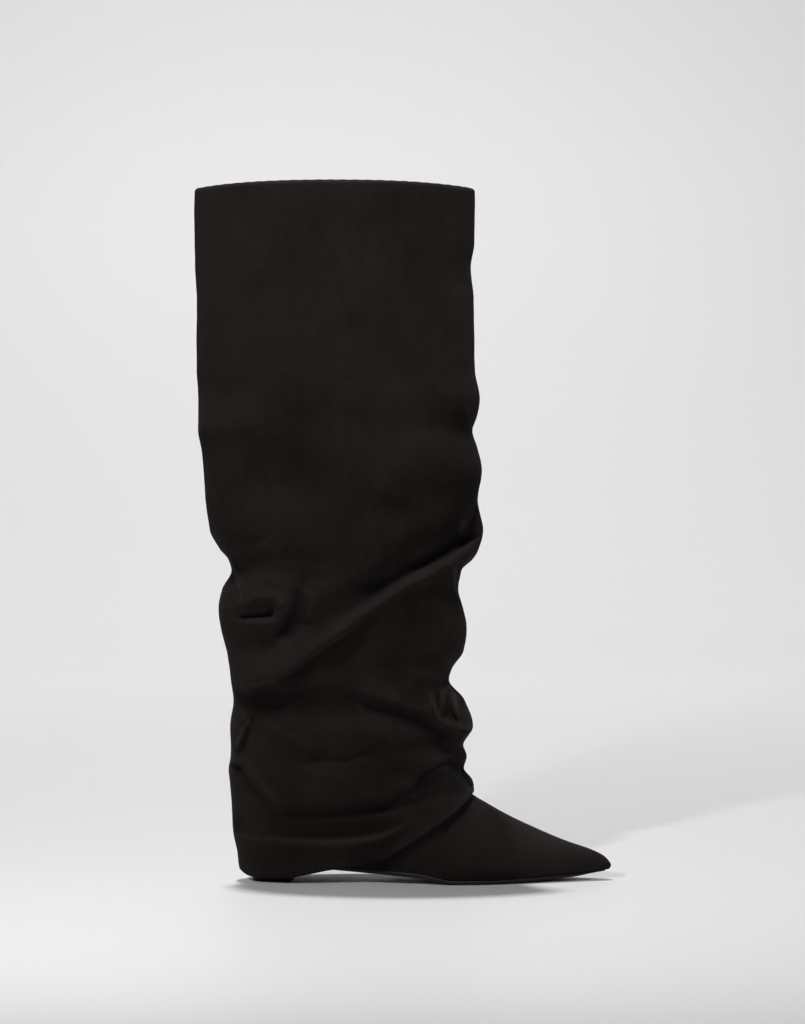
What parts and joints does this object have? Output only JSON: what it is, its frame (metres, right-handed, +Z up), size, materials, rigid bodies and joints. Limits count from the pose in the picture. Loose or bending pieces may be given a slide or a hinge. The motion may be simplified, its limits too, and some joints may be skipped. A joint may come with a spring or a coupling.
{
  "type": "fold-over boot",
  "caption": "Right knee-high suede boot with a pointed toe, a low hidden heel and a shaft folded over at the top line that hangs outside the leg down to a rising hem.",
  "frame": {"origin": "centre of the bounding box on the floor, between heel and toe", "axes": "+X towards the toe, +Z up the shaft, -Y towards the outer side of the foot"},
  "size_m": [0.3086, 0.1093, 0.514],
  "materials": {
    "suede": "napped, matt black",
    "lining": "plain woven, black",
    "sole": "matt black"
  },
  "bodies": {
    "root": {"outsole": "sole", "heel": "sole", "insole": "lining", "upper": "suede", "foldover_shaft": "suede"}
  },
  "joints": []
}
